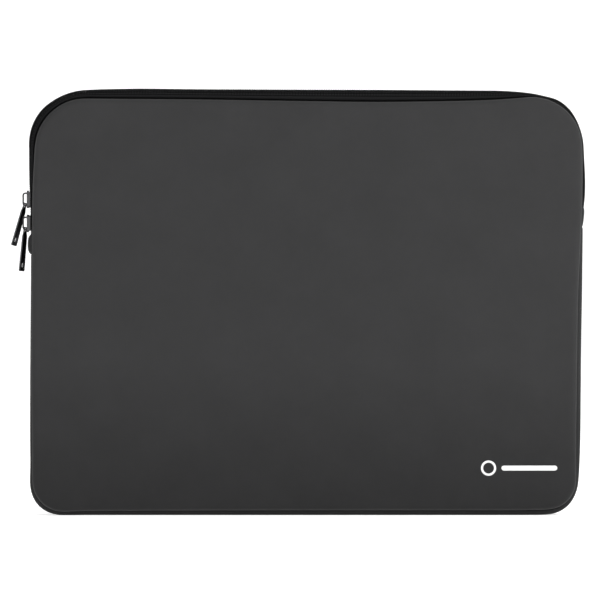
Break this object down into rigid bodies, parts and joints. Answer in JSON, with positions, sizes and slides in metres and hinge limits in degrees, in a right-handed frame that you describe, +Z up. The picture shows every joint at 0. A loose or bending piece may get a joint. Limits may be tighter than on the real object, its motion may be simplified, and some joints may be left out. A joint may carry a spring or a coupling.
{
  "type": "laptop sleeve",
  "caption": "Padded neoprene laptop sleeve with rounded corners, a coil zip round its upper edge, flat metal pulls and a front panel that folds open.",
  "frame": {"origin": "middle of the flat bottom edge that the sleeve stands on, in the middle plane of the zip", "axes": "+Z up towards the crest of the zip, -Y towards the front panel, +X along the width, away from the sliders"},
  "size_m": [0.393, 0.0261, 0.291],
  "materials": {
    "knit": "matte",
    "foam": "matte",
    "lining": "matte",
    "zip_tape": "matte",
    "zip_coil": "satin",
    "binding": "matte",
    "thread": "satin",
    "print": "matte",
    "slider_metal": "satin",
    "pull_metal": "satin"
  },
  "bodies": {
    "sleeve": {"back_outer_knit": "knit", "back_foam": "foam", "back_lining": "lining", "front_outer_knit_lower": "knit", "front_foam_lower": "foam", "front_lining_lower": "lining", "zip_tape_back": "zip_tape", "zip_tape_front_ends": "zip_tape", "zip_coil_back": "zip_coil", "zip_coil_front_ends": "zip_coil", "zip_stop_left": "slider_metal", "zip_stop_right": "slider_metal", "zip_end_tab_left": "knit", "zip_end_tab_right": "knit", "seam_binding_lower": "binding", "zip_binding_back": "binding", "zip_binding_front_ends": "binding", "seam_stitching_lower": "thread", "zip_stitching_back": "thread", "zip_stitching_front_ends": "thread", "printed_mark": "print"},
    "front_flap": {"front_outer_knit_flap": "knit", "front_foam_flap": "foam", "front_lining_flap": "lining", "zip_tape_front_flap": "zip_tape", "zip_coil_front_flap": "zip_coil", "zip_binding_front_flap": "binding", "zip_stitching_front_flap": "thread"},
    "slider_upper": {"slider_upper_body": "slider_metal", "slider_upper_crown": "pull_metal"},
    "upper_pull": {"pull_upper": "pull_metal"},
    "slider_lower": {"slider_lower_body": "slider_metal", "slider_lower_crown": "pull_metal"},
    "lower_pull": {"pull_lower": "pull_metal"}
  },
  "joints": [
    {"name": "front_fold", "type": "hinge", "parent": "sleeve", "child": "front_flap", "pos_m": [0, -0.013, 0.235], "axis": [0.995, 0, -0.0995], "range_deg": [0, 75], "stiffness_Nm_per_rad": 0.02},
    {"name": "upper_slide", "type": "slide", "parent": "sleeve", "child": "slider_upper", "axis": [0, 0, 1], "range_m": [0, 0.0295]},
    {"name": "upper_pull_swing", "type": "hinge", "parent": "slider_upper", "child": "upper_pull", "pos_m": [-0.1927, 0, 0.21325], "axis": [0, 1, 0], "range_deg": [0, 74]},
    {"name": "lower_slide", "type": "slide", "parent": "sleeve", "child": "slider_lower", "axis": [0, 0, 1], "range_m": [-0.002, 0]},
    {"name": "lower_pull_swing", "type": "hinge", "parent": "slider_lower", "child": "lower_pull", "pos_m": [-0.1927, 0, 0.19675], "axis": [0, 1, 0], "range_deg": [0, 14]}
  ]
}
